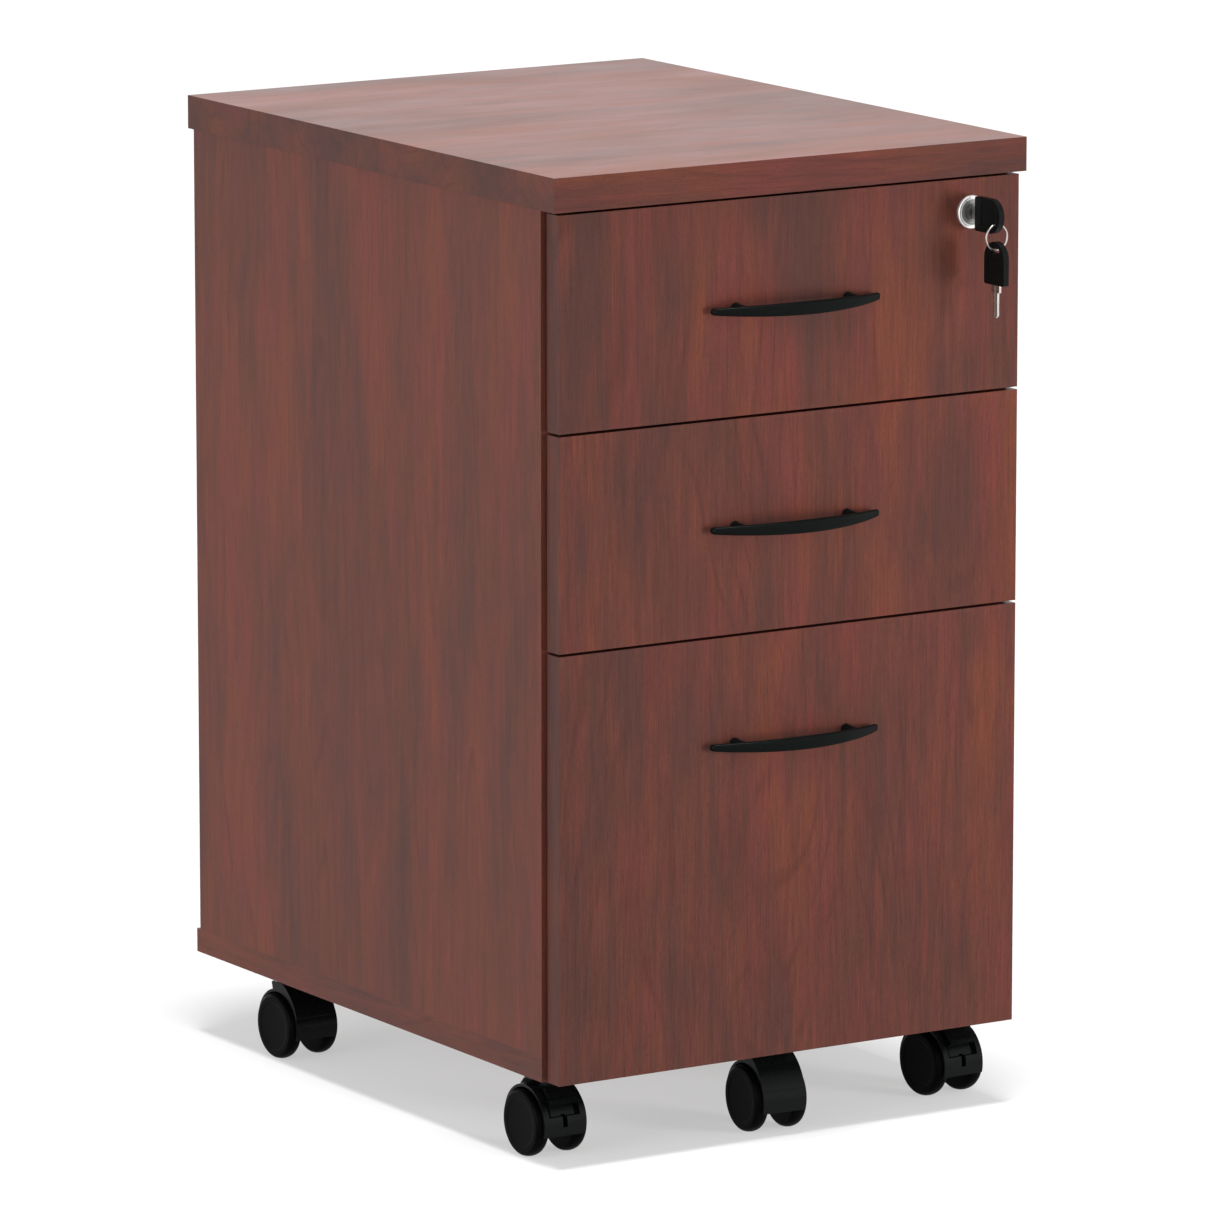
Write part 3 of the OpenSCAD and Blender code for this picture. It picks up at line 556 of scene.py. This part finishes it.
# A wheel's section, as (radius, distance from its inner face)
WHEEL_FACE = [(0, 10.75), (17.6, 10.75), (18.2, 11.0), (22.3, 11.0), (23.4, 10.4)]
WHEEL_TREAD = [
    (24.2, 9.3), (24.75, 7.6), (25.0, 5.5), (24.75, 3.4), (24.2, 1.7), (23.2, 0.5), (22.0, 0.0),
]
WHEEL_BORE = [(6.5, 0.0), (3.1, 0.0), (3.1, 9.2), (0, 9.2)]


def make_wheel(caster, side):
    """A wheel with a smooth dished face, a rounded rim and a crowned tread."""
    node = f"{caster}_{side}_wheel"
    joint = joints[f"{node}_roll"]
    hub = Vector(joint["pos_m"])
    axis = Vector(joint["axis"]).normalized()
    outward = axis if (middle(node) - hub).dot(axis) > 0 else -axis
    place = hub + outward * WHEEL_INNER * MM
    profile = rounded(WHEEL_FACE + WHEEL_TREAD + WHEEL_BORE, 0.45, 3)
    turned = lathe(profile, place, outward, 96)
    wheel = mesh_object(f"{node}_turned", *turned, WHEEL_BLACK, joint["child"], 32)
    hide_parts(node)


HOOD_R = 28.0
# Part of the crown that lies inside the hood
CROWN_OVERLAP = 0.8
CROWN_R = 37.0
CROWN_TOP = 33.5
CROWN_HALF_W = 17.6
CROWN_LOW_ANGLE = 20
CROWN_END_ANGLE = 105


def crown_reach(angle):
    """Distance from the axle to the crown's outline at an angle above the horizontal."""
    inset = (CROWN_R - HOOD_R) * abs(math.cos(angle))
    reach = math.sqrt(inset * inset + CROWN_R ** 2 - (CROWN_R - HOOD_R) ** 2) - inset
    return min(reach, CROWN_TOP / math.sin(angle))


def make_crown(caster):
    """The peak of an unbraked hood: a flat arc that rises over its front and ends at the neck."""
    swivel = joints[f"{caster}_swivel"]
    roll = joints[f"{caster}_{CASTERS[caster][0]}_wheel_roll"]
    hub = Vector(roll["pos_m"])
    axle = Vector(roll["axis"]).normalized()
    forward = hub - Vector(swivel["pos_m"])
    forward = Vector((forward.x, forward.y, 0)).normalized()
    inner, outer = [], []
    count = 48
    for k in range(count + 1):
        angle = math.radians(CROWN_LOW_ANGLE + (CROWN_END_ANGLE - CROWN_LOW_ANGLE) * k / count)
        out = forward * math.cos(angle) + Vector((0, 0, math.sin(angle)))
        inner.append(out * (HOOD_R - CROWN_OVERLAP))
        outer.append(out * crown_reach(angle))
    section = outer + inner[::-1]
    rings = [[hub + (v + axle * x) * MM for v in section] for x in (-CROWN_HALF_W, CROWN_HALF_W)]
    crown = mesh_object(f"{caster}_hood_crown", *skin(rings), CASTER_BLACK, swivel["child"], 30)
    soften(crown, 0.5, 3)


# ---------------------------------------------------------------- lock and key ring

LOCK_BORE_R = 5.6
LOCK_FACE = 1.7
GROOVE_TOP = 1.76
GROOVE_PITCH = 0.82
BARREL_END = -23.6
THREAD_START = -7.0
THREAD_PITCH = 1.1
THREAD_TURNS = 15


def make_lock():
    """The bezel with its polished rim and turned face, the threaded barrel and its nut; the rim's
    brightness is a painted highlight and the face's darkening to the middle is painted shade, both in the
    lock's material.
    """
    place = Vector((LOCK.x, FACE_Y, LOCK.z))
    face = [(LOCK_BORE_R, BARREL_END), (LOCK_BORE_R, LOCK_FACE)]
    for k in range(4):
        start = LOCK_BORE_R + 0.35 + GROOVE_PITCH * k
        for step, level in ((0, LOCK_FACE), (0.2, GROOVE_TOP), (0.42, GROOVE_TOP), (0.62, LOCK_FACE)):
            face.append((start + step, level))
    rim = [
        (9.1, LOCK_FACE), (9.35, 2.1), (9.9, 2.42), (10.7, 2.5), (11.5, 2.38), (12.0, 2.0), (12.2, 1.4),
        (12.2, 0.0), (9.4, 0.0),
    ]
    thread = []
    for k in range(THREAD_TURNS):
        crest = THREAD_START - k * THREAD_PITCH
        thread += [(9.4, crest), (9.0, crest - THREAD_PITCH / 2)]
    turned = face + rim + thread + [(9.2, BARREL_END)]
    rings = lathe(turned, place, (0, -1, 0), 96, closed=True)
    nut_section = [(9.0, -16.0), (13.0, -16.0), (13.0, -20.0), (9.0, -20.0)]
    nut = lathe(nut_section, place, (0, -1, 0), 6, closed=True)
    housing = mesh_object("lock_housing_turned", *joined([rings, nut]), CHROME, "upper_drawer", 28)
    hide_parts("lock_housing")


def make_ring():
    """A split ring: a flat wire wound nearly twice round."""
    centre = middle("key_ring")
    turns, steps, section_steps = 1.9, 150, 12
    radius, half_width, half_thick, lay_depth = 9.2, 0.6, 0.37, 0.8
    rings = []
    for k in range(steps + 1):
        angle = math.tau * turns * k / steps + 0.9
        lay = (k / steps - 0.5) * lay_depth
        out = Vector((math.cos(angle), 0, math.sin(angle)))
        ring = []
        for s in range(section_steps):
            u, v = power_round(math.tau * s / section_steps, WIRE_POWER)
            point = out * (radius + half_width * u) + Vector((0, lay + half_thick * v, 0))
            ring.append(centre + point * MM)
        rings.append(ring)
    coil = mesh_object("split_ring", *skin(rings), KEY_METAL, "key_ring", 60)
    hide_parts("key_ring")


# ---------------------------------------------------------------- dressing the CAD nodes

def dress(node, material, bevel, segments=2):
    """Gives a CAD node its material and softened edges."""
    obj = nodes[node]
    obj.data.materials.clear()
    obj.data.materials.append(material)
    soften(obj, bevel, segments)


STEEL_NODES = (
    "box_slide_outer_rails", "file_slide_outer_rails", "file_slide_middle_rails",
    "cam_fasteners", "caster_stem_plates", "caster_plate_screws",
    "hanging_file_rails", "anti_tip_bracket", "lock_bar",
)
# Tints over the wood colours, matched to the photo for each face
# Painted light: the top's tint is raised as a painted sheen over the tint of its edges. The side and front
# tints hold the wood's own colour together with painted light, for how each face is lit.
TOP_PAINTED_SHEEN_TINT = (1.16, 1.12, 1.12)
TOP_EDGE_PAINTED_LIGHT_TINT = (0.60, 0.64, 0.70)
SIDE_PAINTED_LIGHT_TINT = (0.77, 0.75, 0.765)
FRONT_PAINTED_LIGHT_TINT = (0.64, 0.66, 0.70)

dress("top_panel", laminate("laminate_top", "X", 1.0, TOP_PAINTED_SHEEN_TINT, TOP_EDGE_PAINTED_LIGHT_TINT), 0.8, 3)
dress("left_side_panel", laminate("laminate_left_side", "Z", 2.0, SIDE_PAINTED_LIGHT_TINT), 0.25)
dress("right_side_panel", laminate("laminate_right_side", "Z", 3.0, SIDE_PAINTED_LIGHT_TINT), 0.25)
dress("bottom_panel", laminate("laminate_base", "Y", 4.0, SIDE_PAINTED_LIGHT_TINT), 0.5)
dress("back_panel", laminate("laminate_back", "Z", 5.0, SIDE_PAINTED_LIGHT_TINT), 0.25)
for number, drawer in enumerate(DRAWERS):
    front = laminate(f"laminate_{drawer}_front", "Z", 7.0 + number, FRONT_PAINTED_LIGHT_TINT)
    dress(f"{drawer}_drawer_front", front, 0.4, 2)
    for part in ("sides", "back", "bottom"):
        dress(f"{drawer}_drawer_{part}", BOARD, 0.5)
    dress(f"{drawer}_slide_inner_rails", ZINC, 0.3)
    dress(f"{drawer}_lock_catch", ZINC, 0.3)
for node in STEEL_NODES:
    dress(node, ZINC, 0.25)
dress("drawer_bumpers", SOFT, 0.6, 3)
dress("lock_plug", CHROME, 0.2)
for key in ("inserted", "spare"):
    dress(f"{key}_key_blade", KEY_METAL, 0.15)
    dress(f"{key}_key_bow", KEY_PLASTIC, 0.7, 3)
make_lock()
make_ring()
for drawer in DRAWERS:
    make_handle(drawer)
for caster, sides in CASTERS.items():
    dress(f"{caster}_caster_hood", CASTER_BLACK, 0.5, 3)
    for side in sides:
        make_wheel(caster, side)
for caster in ("rear_left", "rear_right", "fifth"):
    make_crown(caster)
for side in ("left", "right"):
    dress(f"front_{side}_brake_lever", CASTER_BLACK, 0.5, 3)


# ---------------------------------------------------------------- studio

def area_light(name, place, aim, size_x, size_y, watts, glossy=True):
    """A rectangular light; it may be kept out of reflections."""
    data = bpy.data.lights.new(name, "AREA")
    data.shape = "RECTANGLE"
    data.size = size_x
    data.size_y = size_y
    data.energy = watts
    obj = bpy.data.objects.new(name, data)
    bpy.context.scene.collection.objects.link(obj)
    obj.visible_glossy = glossy
    obj.location = place
    obj.rotation_euler = (Vector(aim) - Vector(place)).to_track_quat("-Z", "Y").to_euler()
    return obj


def soft_sun(name, towards, angle, strength):
    """A sun in the direction given, as wide as the angle in degrees."""
    data = bpy.data.lights.new(name, "SUN")
    data.angle = math.radians(angle)
    data.energy = strength
    obj = bpy.data.objects.new(name, data)
    bpy.context.scene.collection.objects.link(obj)
    obj.rotation_euler = Vector(towards).to_track_quat("Z", "Y").to_euler()
    return obj


def make_studio():
    """A surround bright at the horizon and dim overhead, a pale floor and three lights."""
    scene = bpy.context.scene
    scene.view_settings.view_transform = "Standard"
    world = bpy.data.worlds.new("studio")
    scene.world = world
    world.use_nodes = True
    tree = world.node_tree
    background = tree.nodes["Background"]
    direction = add(tree, "ShaderNodeTexCoord").outputs["Generated"]
    height = add(tree, "ShaderNodeSeparateXYZ", {"Vector": direction}).outputs["Z"]
    strength = remap(tree, height, 0.28, 0.75, 1.75, 0.25)
    background.inputs["Color"].default_value = (1, 1, 1, 1)
    tree.links.new(strength, background.inputs["Strength"])

    mesh = bpy.data.meshes.new("floor")
    half = 30.0
    corners = [(-half, -half, 0), (half, -half, 0), (half, half, 0), (-half, half, 0)]
    mesh.from_pydata(corners, [], [(0, 1, 2, 3)])
    floor = bpy.data.objects.new("floor", mesh)
    scene.collection.objects.link(floor)
    material, tree, shader = new_material("studio_floor")
    shader.inputs["Base Color"].default_value = (0.30, 0.30, 0.30, 1)
    shader.inputs["Roughness"].default_value = 0.9
    shader.inputs["Specular IOR Level"].default_value = 0.0
    shader.inputs["Emission Color"].default_value = (1, 1, 1, 1)
    shader.inputs["Emission Strength"].default_value = 0.46
    mesh.materials.append(material)

    soft_sun("overhead", (-0.05, -0.11, 1.0), 10, 4.15)
    area_light("key_front", (1.75, -2.75, 0.45), (0.05, -0.24, 0.40), 0.8, 0.8, 115, glossy=False)
    area_light("left_fill", (-3.1, -0.7, 0.75), (0, 0, 0.38), 1.6, 1.6, 56)


def make_camera():
    """The photo's camera, from the fit to the panel corners."""
    azimuth = math.radians(-32.15)
    elevation = math.radians(10.805)
    distance = 6.913
    target = Vector((0.0019, 0.01565, 0.35274))
    back = Vector((
        math.sin(azimuth) * math.cos(elevation),
        -math.cos(azimuth) * math.cos(elevation),
        math.sin(elevation),
    ))
    data = bpy.data.cameras.new("camera")
    data.sensor_width = 36
    data.lens = 275.74
    data.clip_end = 200
    camera = bpy.data.objects.new("camera", data)
    bpy.context.scene.collection.objects.link(camera)
    camera.location = target + back * distance
    camera.rotation_euler = back.to_track_quat("Z", "Y").to_euler()
    bpy.context.scene.camera = camera


make_studio()
make_camera()
